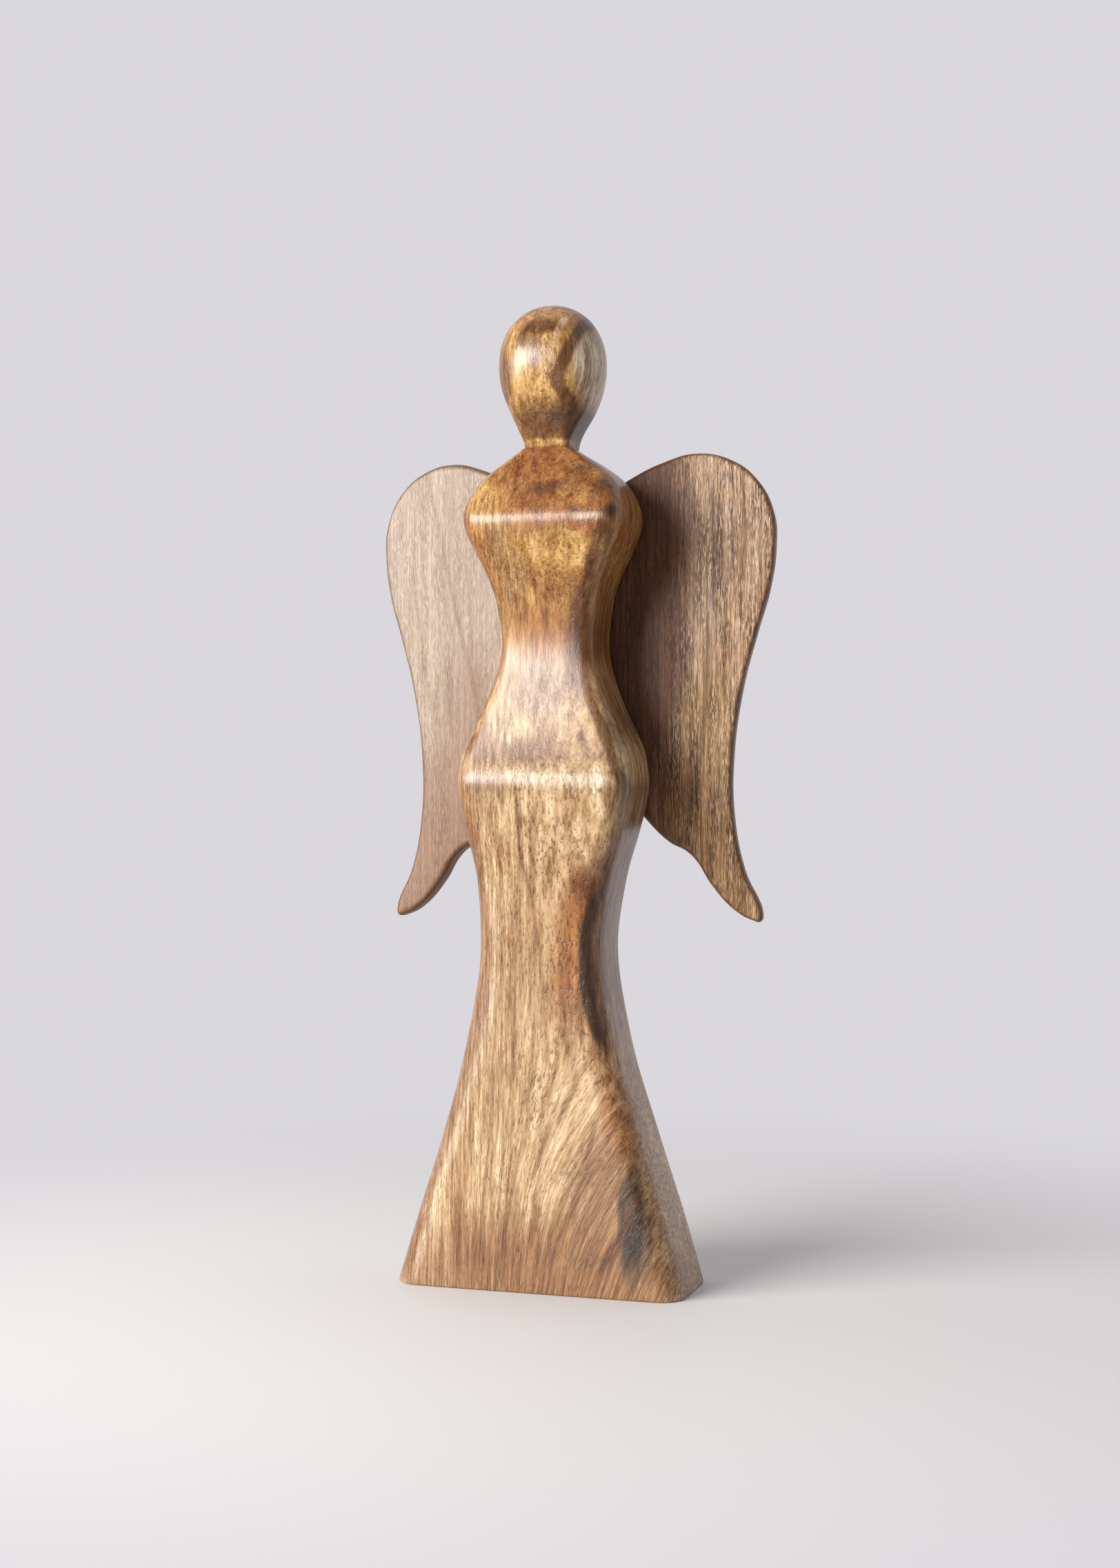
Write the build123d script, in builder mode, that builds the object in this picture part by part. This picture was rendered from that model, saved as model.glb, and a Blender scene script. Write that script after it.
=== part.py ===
from build123d import *
import os
from collections import namedtuple
from math import cos, radians, sin

# A carved wooden angel, 400 mm tall. The figure is one piece of thick plank: it is sawn to a
# front outline and a side outline, and its long edges are rounded by hand. Two flat boards are
# its wings. Each wing lies on a seat planed into the figure's back, and two countersunk wood
# screws, driven from behind, hold it there. Millimetres, +Z up, and the front faces -Y, so the
# figure's own left is at +X. X = 0 is the middle of the torso, and Z = 0 is the face that the
# figure stands on.

# --- Figure: what the saw and the rasp leave at each height -----------------------------------
# front and back are how far the wood reaches before and behind Y = 0, corner is the radius of
# the long edges, and lean is how far the middle of the section stands off X = 0.
Station = namedtuple("Station", "name height half_width front back corner lean")
FIGURE = [
    Station("hem", 0, 61.0, 25.0, 25.0, 11, -1.2),
    Station("skirt_low", 30, 52.2, 23.6, 23.8, 11, -1.0),
    Station("skirt_middle", 60, 42.7, 21.7, 22.1, 10.5, -1.1),
    Station("skirt_high", 100, 31.8, 19.6, 20.1, 10, -1.9),
    Station("knee", 138, 26.1, 18.4, 18.9, 9.0, -1.9),
    Station("thigh", 166, 28.6, 19.6, 19.6, 9.0, -0.6),
    Station("hip_low", 186, 33.7, 21.7, 21.2, 9.5, 0),
    Station("hip_under", 197, 36.2, 22.9, 22.4, 9.8, 0),
    Station("hip_ridge", 204, 36.9, 23.4, 22.9, 9.8, 0),
    Station("hip_over", 211, 36.5, 22.3, 22.4, 9.6, 0),
    Station("hip_high", 220, 34.4, 20.2, 21.7, 9.0, 0),
    Station("belly", 236, 26.3, 16.6, 20.3, 7.0, 0),
    Station("waist", 260, 19.4, 13.0, 19.1, 5.5, 0.2),
    Station("ribs", 284, 22.7, 15.8, 20.0, 6.5, -0.3),
    Station("chest_low", 299, 29.6, 20.1, 21.4, 8.0, 0),
    Station("chest_under", 305, 32.2, 21.9, 22.0, 8.5, 0),
    Station("chest_ridge", 311, 33.8, 22.6, 22.4, 8.8, 0),
]
SECTIONS = 31  # evenly spaced cuts from the hem to the chest ridge
SHOULDERS = [
    Station("chest_ridge", 311, 33.8, 22.6, 22.4, 8.8, 0),
    Station("chest_over", 317, 33.5, 21.3, 21.4, 8.6, 0),
    Station("shoulder", 323, 31.3, 18.8, 19.2, 8.0, 0),
    Station("collar_low", 329, 26.7, 15.8, 16.2, 7.0, -0.2),
    Station("collar_high", 335, 18.0, 12.4, 12.7, 4.5, -0.5),
    Station("neck_crease", 341, 9.7, 8.8, 9.0, 1.6, -0.9),
]
HEAD = [
    Station("neck", 341, 9.7, 8.8, 9.0, 1.6, -0.9),
    Station("chin", 347, 11.3, 10.5, 10.7, 4.0, -1.0),
    Station("jaw", 355, 15.9, 14.0, 14.0, 8.5, -0.5),
    Station("cheek", 364, 19.9, 17.9, 17.7, 13.5, -0.6),
    Station("temple", 374, 22.0, 20.2, 20.0, 17.5, -0.6),
    Station("brow", 384, 20.9, 19.4, 19.2, 17.5, -0.6),
    Station("crown_low", 391, 17.7, 16.3, 16.1, 15.5, -0.7),
    Station("crown_high", 396, 12.9, 11.9, 11.7, 11.2, -0.7),
    Station("crown_top", 399, 6.9, 6.4, 6.2, 6.0, -0.7),
]
FIGURE_HEIGHT = 400
FOOT_ROUND = 0.8  # the sanded edge round the foot

# --- Wings ------------------------------------------------------------------------------------
WING_SWEEP = 6  # degrees that each wing leans back from the figure's width
WING_THICKNESS = 9
WING_EDGE = 2.2  # rounding of both faces' edges
WING_SEAT = 19.4  # depth of the seats behind Y = 0, where the two meet in the middle

# Outline in the wing's own plane: along the wing from the middle, and up from the floor.
ROOT_TOP = (1.5, 316)
SHOULDER_EDGE = [(26.5, 331.5), (40, 337.8), (54, 341.2), (68, 338.3), (79, 330), (86, 316)]
OUTER_EDGE = [(87, 303), (84.5, 285), (79.3, 267), (73.3, 244), (69.3, 215), (69.6, 190)]
TAIL_EDGE = [(74, 168)]
TIP = (83, 145.5)
INNER_TAIL = [(70.5, 151.3), (60, 162.5)]
NOTCH = (52, 174.8)
LOWER_LOBE = [(43, 179.6), (33, 189), (18, 208)]
ROOT_BOTTOM = (1.5, 228)
CORNERS = [(ROOT_TOP, 6), (TIP, 3), (NOTCH, 5), (ROOT_BOTTOM, 6)]  # with their radii

SEAT_LOW, SEAT_HIGH = 140, 340  # the ends of the planed seats, as heights
SEAT_WIDTH = 45

# --- Wing screws, 3.5 x 30 countersunk --------------------------------------------------------
SCREW_LENGTH = 30
SHANK_RADIUS = 1.75
SCREW_HEAD_RADIUS = 3.5
HEAD_HEIGHT = SCREW_HEAD_RADIUS - SHANK_RADIUS  # a 90 degree countersink
POINT_LENGTH = 4
POINT_RADIUS = 0.3
RECESS_LENGTH, RECESS_WIDTH, RECESS_DEPTH = 4.0, 0.9, 1.4
SHANK_CLEARANCE = 0.3  # in the wing
THREAD_GAP = 0.02  # in the figure, where the screw fills its pilot hole
SCREW_ALONG = 15
SCREW_HEIGHTS = (220, 306)


def rate(lower, upper, key):
    """How fast one measure changes with height between two stations."""
    return (getattr(upper, key) - getattr(lower, key)) / (upper.height - lower.height)


def rate_at(place, key):
    """The same at a station: the harmonic mean of both sides, or level where it turns back."""
    if place == 0:
        return rate(FIGURE[0], FIGURE[1], key)
    if place == len(FIGURE) - 1:
        return rate(FIGURE[-2], FIGURE[-1], key)
    below = rate(FIGURE[place - 1], FIGURE[place], key)
    above = rate(FIGURE[place], FIGURE[place + 1], key)
    return 2 * below * above / (below + above) if below * above > 0 else 0


def measure(height, key):
    """One measure of the figure at any height, as a fair curve through the stations."""
    place = max(i for i, station in enumerate(FIGURE[:-1]) if station.height <= height)
    lower, upper = FIGURE[place], FIGURE[place + 1]
    span = upper.height - lower.height
    t = (height - lower.height) / span
    start, end = getattr(lower, key), getattr(upper, key)
    bend_start = t * (1 - t) ** 2 * span * rate_at(place, key)
    bend_end = t**2 * (t - 1) * span * rate_at(place + 1, key)
    return start + (end - start) * t**2 * (3 - 2 * t) + bend_start + bend_end


def cut_at(height):
    """The figure's station at any height."""
    return Station("cut", height, *[measure(height, key) for key in Station._fields[2:]])


def wing_plane(side):
    """The plane of a wing's front face, seen from the front. side is 1 for +X, -1 for -X."""
    sweep = radians(WING_SWEEP)
    return Plane(
        origin=(0, WING_SEAT, 0),
        x_dir=(cos(sweep), side * sin(sweep), 0),
        z_dir=(side * sin(sweep), -cos(sweep), 0),
    )


def screw_planes(side):
    """On a wing's back face, one for each screw, with Z pointing out of the wood."""
    front = wing_plane(side)
    planes = []
    for height in SCREW_HEIGHTS:
        head = front.from_local_coords(Vector(side * SCREW_ALONG, height, -WING_THICKNESS))
        planes.append(Plane(origin=head, x_dir=front.x_dir, z_dir=-front.z_dir))
    return planes


def mirrored(side, *points):
    """The outline's points on one side of the figure."""
    return [(side * along, height) for along, height in points]


def save(piece, name):
    piece.part.label = name
    export_step(piece.part, f"parts/{name}.step")
    print(name, "volume", round(piece.part.volume), "valid", piece.part.is_valid)


os.makedirs("parts", exist_ok=True)
EVERY_SCREW = screw_planes(-1) + screw_planes(1)

# --- Figure -----------------------------------------------------------------------------------
ridge = FIGURE[-1].height
cuts = [cut_at(ridge * step / SECTIONS) for step in range(SECTIONS + 1)]
with BuildPart() as figure:
    for stations in (cuts, SHOULDERS):
        for station in stations:
            with BuildSketch(Plane.XY.offset(station.height)):
                with Locations((station.lean, (station.back - station.front) / 2)):
                    RectangleRounded(
                        2 * station.half_width, station.front + station.back, station.corner
                    )
        loft()
    fillet(figure.edges().group_by(Axis.Z)[0], FOOT_ROUND)

    head_slices = []
    for station in HEAD:
        with BuildSketch(Plane.XY.offset(station.height), mode=Mode.PRIVATE) as head_slice:
            with Locations((station.lean, (station.back - station.front) / 2)):
                RectangleRounded(
                    2 * station.half_width, station.front + station.back, station.corner
                )
        head_slices.append(head_slice.sketch)
    crown = Vertex(HEAD[-1].lean, 0, FIGURE_HEIGHT)
    loft(sections=[*head_slices, crown])

    # The two planed seats for the wings, which meet in the middle of the back.
    for side in (-1, 1):
        with BuildSketch(wing_plane(side)):
            with Locations((side * SEAT_WIDTH / 2, (SEAT_LOW + SEAT_HIGH) / 2)):
                Rectangle(SEAT_WIDTH, SEAT_HIGH - SEAT_LOW)
        extrude(amount=-WING_THICKNESS, mode=Mode.SUBTRACT)

    # Pilot holes, each the shape of the screw's shank and point.
    with Locations(*EVERY_SCREW):
        Cylinder(
            SHANK_RADIUS + THREAD_GAP,
            SCREW_LENGTH - POINT_LENGTH,
            align=(Align.CENTER, Align.CENTER, Align.MAX),
            mode=Mode.SUBTRACT,
        )
    with Locations(*[plane.offset(POINT_LENGTH - SCREW_LENGTH) for plane in EVERY_SCREW]):
        Cone(
            POINT_RADIUS,
            SHANK_RADIUS + THREAD_GAP,
            POINT_LENGTH + THREAD_GAP,
            align=(Align.CENTER, Align.CENTER, Align.MAX),
            mode=Mode.SUBTRACT,
        )
save(figure, "figure")

# --- Wings ------------------------------------------------------------------------------------
for side, name in ((1, "wing_left"), (-1, "wing_right")):
    with BuildPart() as wing:
        with BuildSketch(wing_plane(side)) as outline:
            with BuildLine():
                outer = Spline(
                    *mirrored(side, ROOT_TOP, *SHOULDER_EDGE, *OUTER_EDGE, *TAIL_EDGE, TIP)
                )
                tail = Spline(*mirrored(side, TIP, *INNER_TAIL, NOTCH))
                lobe = Spline(*mirrored(side, NOTCH, *LOWER_LOBE, ROOT_BOTTOM))
                Line(lobe @ 1, outer @ 0)
            make_face()
            for corner, radius in CORNERS:
                point = Vector(side * corner[0], corner[1])
                fillet(outline.vertices().sort_by_distance(point)[0], radius)
        extrude(amount=-WING_THICKNESS)
        fillet(wing.faces().sort_by(SortBy.AREA)[-2:].edges(), WING_EDGE)
        with Locations(*screw_planes(side)):
            CounterSinkHole(SHANK_RADIUS + SHANK_CLEARANCE, SCREW_HEAD_RADIUS)
    save(wing, name)

# --- Wing screws ------------------------------------------------------------------------------
with BuildPart(mode=Mode.PRIVATE) as screw:
    with BuildSketch(Plane.XZ):
        with BuildLine():
            Polyline(
                (0, 0),
                (SCREW_HEAD_RADIUS, 0),
                (SHANK_RADIUS, -HEAD_HEIGHT),
                (SHANK_RADIUS, POINT_LENGTH - SCREW_LENGTH),
                (POINT_RADIUS, -SCREW_LENGTH),
                (0, -SCREW_LENGTH),
                close=True,
            )
        make_face()
    revolve(axis=Axis.Z)
    with Locations(Rotation(0, 0, 45), Rotation(0, 0, 135)):
        Box(
            RECESS_LENGTH,
            RECESS_WIDTH,
            RECESS_DEPTH,
            align=(Align.CENTER, Align.CENTER, Align.MAX),
            mode=Mode.SUBTRACT,
        )

with BuildPart() as wing_screws:
    with Locations(*EVERY_SCREW):
        add(screw.part)
save(wing_screws, "wing_screws")
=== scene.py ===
# %% [markdown]
# # A carved wooden angel
#
# The angel is a figure sawn from one thick plank, with two flat boards for its wings. This
# lesson builds the figure, the wings and their waxed wood around the exact parts of the frame.
# The wing screws of the frame have the right shape already, so they stay and only get a finish.
# Lengths are in metres, +Z is up and the front faces -Y.

# %% The frame
from collections import namedtuple
from math import cos, pi, radians, sin

import bpy
from mathutils import Matrix, Vector


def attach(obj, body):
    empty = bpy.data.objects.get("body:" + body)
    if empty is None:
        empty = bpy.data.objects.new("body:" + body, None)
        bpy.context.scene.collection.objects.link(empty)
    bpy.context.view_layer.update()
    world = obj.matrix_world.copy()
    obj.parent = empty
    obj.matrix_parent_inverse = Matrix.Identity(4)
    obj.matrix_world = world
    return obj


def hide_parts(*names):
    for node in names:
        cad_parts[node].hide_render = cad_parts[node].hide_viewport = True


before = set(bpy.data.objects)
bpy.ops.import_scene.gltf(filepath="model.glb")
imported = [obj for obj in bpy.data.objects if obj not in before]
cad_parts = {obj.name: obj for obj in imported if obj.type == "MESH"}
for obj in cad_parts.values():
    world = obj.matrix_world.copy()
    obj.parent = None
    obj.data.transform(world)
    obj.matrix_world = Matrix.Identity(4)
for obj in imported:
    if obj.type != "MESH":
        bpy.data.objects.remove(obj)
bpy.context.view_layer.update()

MM = 0.001
print("frame nodes:", sorted(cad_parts))

# %% [markdown]
# ## Small helpers
#
# An operator acts on everything that is selected, so each step starts from nothing selected.
# A finished piece has its place in its mesh and its object at the origin, so that a pattern on
# Object coordinates means the same place on every piece.

# %% Helpers for selecting and finishing


def only(piece):
    """Selects one object and nothing else."""
    if bpy.context.object and bpy.context.object.mode != "OBJECT":
        bpy.ops.object.mode_set(mode="OBJECT")
    bpy.ops.object.select_all(action="DESELECT")
    bpy.context.view_layer.objects.active = piece
    piece.select_set(True)


def select_where(piece, kind, test):
    """In edit mode, selects the vertices, edges or faces that the test picks."""
    bpy.ops.mesh.select_mode(type=kind)
    bpy.ops.mesh.select_all(action="DESELECT")
    bpy.ops.object.mode_set(mode="OBJECT")
    parts = {"VERT": piece.data.vertices, "EDGE": piece.data.edges, "FACE": piece.data.polygons}
    for part in parts[kind]:
        part.select = test(part)
    bpy.ops.object.mode_set(mode="EDIT")


def apply_modifier(piece, kind, **settings):
    """Adds a modifier, gives it its settings and applies it."""
    modifier = piece.modifiers.new(kind.title(), kind)
    for key, value in settings.items():
        setattr(modifier, key, value)
    only(piece)
    bpy.ops.object.modifier_apply(modifier=modifier.name)


def settle(piece):
    """Puts the piece's place into its mesh, with the object at the origin."""
    only(piece)
    bpy.ops.object.transform_apply(location=True, rotation=True, scale=True)


# %% [markdown]
# ## The figure
#
# On the real piece, a bandsaw cuts the front outline and the side outline from the plank, and a
# rasp rounds the long edges. Each height of it is then a rectangle with rounded corners, so the
# figure can be made as a stack of such rectangles that are bridged into a skin. The stations
# below say how far the wood reaches at the heights that give the figure its shape.

# %% The figure's stations
Station = namedtuple("Station", "height half_width front back corner lean")
BODY = [
    Station(0, 61.0, 25.0, 25.0, 11, -1.2),
    Station(30, 52.2, 23.6, 23.8, 11, -1.0),
    Station(60, 42.7, 21.7, 22.1, 10.5, -1.1),
    Station(100, 31.8, 19.6, 20.1, 10, -1.9),
    Station(138, 26.1, 18.4, 18.9, 9.0, -1.9),
    Station(166, 28.6, 19.6, 19.6, 9.0, -0.6),
    Station(186, 33.7, 22.2, 21.2, 9.5, 0),
    Station(197, 36.2, 23.2, 22.4, 9.8, 0),
    Station(201, 36.7, 23.6, 22.8, 9.8, 0),
    Station(204, 36.9, 23.7, 22.9, 9.8, 0),
    Station(207, 36.9, 23.4, 22.8, 9.8, 0),
    Station(210, 36.5, 22.6, 22.5, 9.6, 0),
    Station(214, 36.0, 21.3, 22.3, 9.3, 0),
    Station(220, 34.4, 19.8, 21.7, 9.0, 0),
    Station(236, 26.3, 16.4, 20.3, 7.0, 0),
    Station(260, 19.4, 13.0, 19.1, 5.5, 0.2),
    Station(284, 22.7, 15.8, 20.0, 6.5, -0.3),
    Station(299, 29.6, 20.8, 21.4, 8.0, 0),
    Station(305, 32.2, 22.5, 22.0, 8.5, 0),
    Station(308.5, 33.3, 23.1, 22.3, 8.7, 0),
    Station(311, 33.8, 23.2, 22.4, 8.8, 0),
    Station(313.5, 33.9, 22.9, 22.2, 8.8, 0),
    Station(317, 33.5, 21.7, 21.4, 8.6, 0),
    Station(323, 31.5, 19.0, 19.2, 8.0, 0.1),
    Station(329, 27.2, 15.8, 16.2, 7.0, 0.2),
    Station(335, 19.0, 12.6, 12.9, 5.0, -0.1),
    Station(339.4, 12.0, 10.0, 10.2, 3.2, -0.8),
    Station(340.8, 10.3, 9.3, 9.5, 2.6, -0.9),
]
HEAD = [
    Station(341.2, 9.5, 8.6, 8.8, 2.4, -0.8),
    Station(343.5, 9.9, 9.2, 9.4, 3.2, -0.8),
    Station(347, 11.3, 10.5, 10.7, 4.6, -1.0),
    Station(351, 13.5, 12.2, 12.3, 6.4, -0.8),
    Station(355, 15.9, 14.0, 14.0, 8.8, -0.3),
    Station(360, 18.4, 16.4, 16.2, 11.8, -0.3),
    Station(365, 20.3, 18.2, 18.0, 14.2, -0.3),
    Station(370, 21.6, 19.6, 19.4, 16.4, -0.3),
    Station(375, 22.0, 20.3, 20.1, 17.8, -0.3),
    Station(380, 21.8, 20.2, 20.0, 17.9, -0.3),
    Station(385, 20.7, 19.3, 19.1, 17.4, -0.3),
    Station(390, 18.5, 17.1, 16.9, 16.2, -0.4),
    Station(394, 15.3, 14.1, 13.9, 13.4, -0.4),
    Station(397, 11.4, 10.5, 10.3, 9.9, -0.4),
    Station(399, 6.9, 6.4, 6.2, 6.0, -0.4),
    Station(399.8, 2.8, 2.6, 2.4, 2.4, -0.4),
]
print("stations:", len(BODY), "for the body and", len(HEAD), "for the head")

# %% [markdown]
# Rings that are set evenly make an even skin. Between two stations, each measure runs as a fair
# curve that never passes the stations, so the skin has no waves that the saw did not cut.

# %% Measures between the stations
RING_SPACING = 7.5


def rate(lower, upper, key):
    """How fast one measure changes with height between two stations."""
    return (getattr(upper, key) - getattr(lower, key)) / (upper.height - lower.height)


def rate_at(stations, place, key):
    """The same at a station: the harmonic mean of both sides, or level where it turns back."""
    below = rate(stations[max(place - 1, 0)], stations[max(place, 1)], key)
    last = len(stations) - 1
    above = rate(stations[min(place, last - 1)], stations[min(place + 1, last)], key)
    return 2 * below * above / (below + above) if below * above > 0 else 0


def measure(stations, height, key):
    """One measure at any height."""
    place = max(i for i, station in enumerate(stations[:-1]) if station.height <= height)
    lower, upper = stations[place], stations[place + 1]
    span = upper.height - lower.height
    t = (height - lower.height) / span
    start, end = getattr(lower, key), getattr(upper, key)
    bend_start = t * (1 - t) ** 2 * span * rate_at(stations, place, key)
    bend_end = t**2 * (t - 1) * span * rate_at(stations, place + 1, key)
    return start + (end - start) * t**2 * (3 - 2 * t) + bend_start + bend_end


def rings_of_body():
    """A ring at every station, and even rings between the stations that lie far apart."""
    heights = []
    for lower, upper in zip(BODY, BODY[1:]):
        steps = max(1, round((upper.height - lower.height) / RING_SPACING))
        heights += [lower.height + (upper.height - lower.height) * k / steps for k in range(steps)]
    heights.append(BODY[-1].height)
    keys = Station._fields[1:]
    return [Station(h, *[measure(BODY, h, key) for key in keys]) for h in heights]


rings = rings_of_body() + HEAD
print("rings in the skin:", len(rings))

# %% [markdown]
# Each ring starts as a plane. Its corners are bevelled round, and its face is deleted, which
# leaves a loop of edges. Bridge Edge Loops then joins all the loops into one skin. The foot is
# closed with a face whose edge is bevelled a little, as the maker sands it, and the crown is
# closed with a fan. The crease under the chin is kept sharp, and two levels of subdivision round
# the rest.

# %% The figure's skin
CORNER_STEPS = 5
FOOT_ROUND = 0.9


def add_ring(station):
    """One rounded rectangle of edges, in edit mode."""
    bpy.ops.mesh.select_all(action="DESELECT")
    middle = (station.lean * MM, (station.back - station.front) / 2 * MM, station.height * MM)
    bpy.ops.mesh.primitive_plane_add(size=1, location=middle)
    width, depth = 2 * station.half_width, station.front + station.back
    bpy.ops.transform.resize(value=(width * MM, depth * MM, 1), center_override=middle)
    bpy.ops.mesh.bevel(
        offset=station.corner * MM, segments=CORNER_STEPS, affect="VERTICES", clamp_overlap=True
    )
    bpy.ops.mesh.delete(type="ONLY_FACE")


bpy.ops.object.select_all(action="DESELECT")
bpy.ops.mesh.primitive_plane_add(size=0.01)
figure = bpy.context.object
figure.name = "carved_figure"
only(figure)
bpy.ops.object.mode_set(mode="EDIT")
bpy.ops.mesh.select_all(action="SELECT")
bpy.ops.mesh.delete(type="VERT")
for station in rings:
    add_ring(station)
bpy.ops.mesh.select_all(action="SELECT")
bpy.ops.mesh.bridge_edge_loops(type="SINGLE")
print("skin faces:", len(figure.data.polygons))

# %% The foot, the crown and the crease


def edge_ring(piece, height):
    """A test for the edges that lie level at one height."""
    points = piece.data.vertices

    def test(edge):
        return all(abs(points[i].co.z - height * MM) < 1e-5 for i in edge.vertices)

    return test


select_where(figure, "EDGE", edge_ring(figure, 0))
bpy.ops.mesh.edge_face_add()
select_where(figure, "EDGE", edge_ring(figure, 0))
bpy.ops.mesh.bevel(offset=FOOT_ROUND * MM, segments=2, affect="EDGES")
select_where(figure, "EDGE", edge_ring(figure, HEAD[-1].height))
bpy.ops.mesh.edge_face_add()
bpy.ops.mesh.poke()
for height, sharpness in ((BODY[-1].height, 0.7), (HEAD[0].height, 1.0)):
    select_where(figure, "EDGE", edge_ring(figure, height))
    bpy.ops.transform.edge_crease(value=sharpness)
bpy.ops.mesh.select_all(action="SELECT")
bpy.ops.mesh.remove_doubles(threshold=1e-6)
bpy.ops.mesh.normals_make_consistent(inside=False)
bpy.ops.object.mode_set(mode="OBJECT")
apply_modifier(figure, "SUBSURF", levels=2, render_levels=2)
print("figure after subdivision:", len(figure.data.polygons), "faces")

# %% [markdown]
# ## Seats for the wings
#
# A maker planes two flats across the back, one for each wing, each turned a few degrees. Here a
# thick board is laid against the back at the wing's angle, and a Boolean takes it away.

# %% Cutting the seats
WING_SWEEP = radians(6)
WING_SEAT = 19.4
SEAT_LOW, SEAT_HIGH = 140, 338
SEAT_WIDTH = 45


def lean_back(piece, side):
    """Turns a board about the middle line, and sets it behind the figure."""
    turn = Matrix.Rotation(side * WING_SWEEP, 4, "Z")
    piece.matrix_world = Matrix.Translation((0, WING_SEAT * MM, 0)) @ turn @ piece.matrix_world
    settle(piece)


for side in (-1, 1):
    bpy.ops.object.select_all(action="DESELECT")
    place = (side * SEAT_WIDTH / 2 * MM, 10 * MM, (SEAT_LOW + SEAT_HIGH) / 2 * MM)
    bpy.ops.mesh.primitive_cube_add(
        size=1, location=place, scale=(SEAT_WIDTH * MM, 20 * MM, (SEAT_HIGH - SEAT_LOW) * MM)
    )
    board = bpy.context.object
    lean_back(board, side)
    apply_modifier(figure, "BOOLEAN", operation="DIFFERENCE", object=board, solver="EXACT")
    bpy.data.objects.remove(board)
settle(figure)
bpy.ops.object.shade_smooth_by_angle(angle=radians(32))
print("figure with its seats:", len(figure.data.polygons), "faces")
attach(figure, "root")
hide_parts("figure")

# %% [markdown]
# ## The wings
#
# Each wing is sawn from a 9 mm board to a drawn outline, and both edges are rounded with
# sandpaper. A closed Bezier curve is that drawn outline. Extruding and bevelling it gives the
# board its thickness and its rounded edge, and it is then made a mesh. The left wing is modelled
# first, flat, and the right wing is its mirror image.

# %% The wing's outline
WING_THICKNESS = 9
WING_EDGE = 2.4
ROUNDED, POINTED = "AUTO", "VECTOR"
OUTLINE = [
    (1.5, 310, POINTED),
    (6, 317.5, ROUNDED),
    (26.5, 331.5, ROUNDED),
    (40, 337.8, ROUNDED),
    (54, 341.2, ROUNDED),
    (68, 338.3, ROUNDED),
    (79, 330, ROUNDED),
    (86, 316, ROUNDED),
    (86.9, 303, ROUNDED),
    (84.5, 285, ROUNDED),
    (79.3, 267, ROUNDED),
    (73.3, 244, ROUNDED),
    (69.3, 215, ROUNDED),
    (69.6, 190, ROUNDED),
    (74, 168, ROUNDED),
    (81.4, 150.2, ROUNDED),
    (80.6, 147.2, ROUNDED),
    (77.6, 147.6, ROUNDED),
    (70.5, 151.3, ROUNDED),
    (60, 162.5, ROUNDED),
    (54, 172, ROUNDED),
    (49.6, 176.2, ROUNDED),
    (43, 179.6, ROUNDED),
    (33, 189, ROUNDED),
    (18, 208, ROUNDED),
    (6, 222, ROUNDED),
    (1.5, 229, POINTED),
]
print("points on the wing's outline:", len(OUTLINE))

# %% The wing's board


def wing_board():
    """A flat wing, its front face at Y = 0 and its back face behind it."""
    bpy.ops.object.select_all(action="DESELECT")
    bpy.ops.curve.primitive_bezier_circle_add(radius=0.05)
    board = bpy.context.object
    bpy.ops.object.mode_set(mode="EDIT")
    bpy.ops.curve.select_all(action="SELECT")
    while len(board.data.splines[0].bezier_points) < len(OUTLINE):
        bpy.ops.curve.select_all(action="DESELECT")
        for point in board.data.splines[0].bezier_points[:2]:
            point.select_control_point = True
        bpy.ops.curve.subdivide(number_cuts=1)
    bpy.ops.object.mode_set(mode="OBJECT")
    for point, (along, height, kind) in zip(board.data.splines[0].bezier_points, OUTLINE):
        point.co = (along * MM, height * MM, 0)
        point.handle_left_type = point.handle_right_type = kind
    drawn = board.data
    drawn.dimensions = "2D"
    drawn.fill_mode = "BOTH"
    drawn.resolution_u = 10
    drawn.bevel_depth = WING_EDGE * MM
    drawn.bevel_resolution = 3
    drawn.offset = -WING_EDGE * MM
    drawn.extrude = (WING_THICKNESS / 2 - WING_EDGE) * MM
    only(board)
    bpy.ops.object.convert(target="MESH")
    board = bpy.context.object
    # The curve lies flat: stand it up, with its near face at Y = 0.
    stand = Matrix.Translation((0, WING_THICKNESS / 2 * MM, 0)) @ Matrix.Rotation(pi / 2, 4, "X")
    board.matrix_world = stand
    settle(board)
    bpy.ops.object.mode_set(mode="EDIT")
    bpy.ops.mesh.select_all(action="SELECT")
    bpy.ops.mesh.remove_doubles(threshold=1e-5)
    bpy.ops.mesh.normals_make_consistent(inside=False)
    bpy.ops.object.mode_set(mode="OBJECT")
    return board


# %% [markdown]
# The two screws of each wing need countersunk holes in its back face. A cone and a drill are
# laid where each screw is and are taken away.

# %% Countersinks
SCREW_ALONG = 15
SCREW_HEIGHTS = (220, 306)
SCREW_HEAD_RADIUS = 3.55
SHANK_HOLE_RADIUS = 2.05


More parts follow.
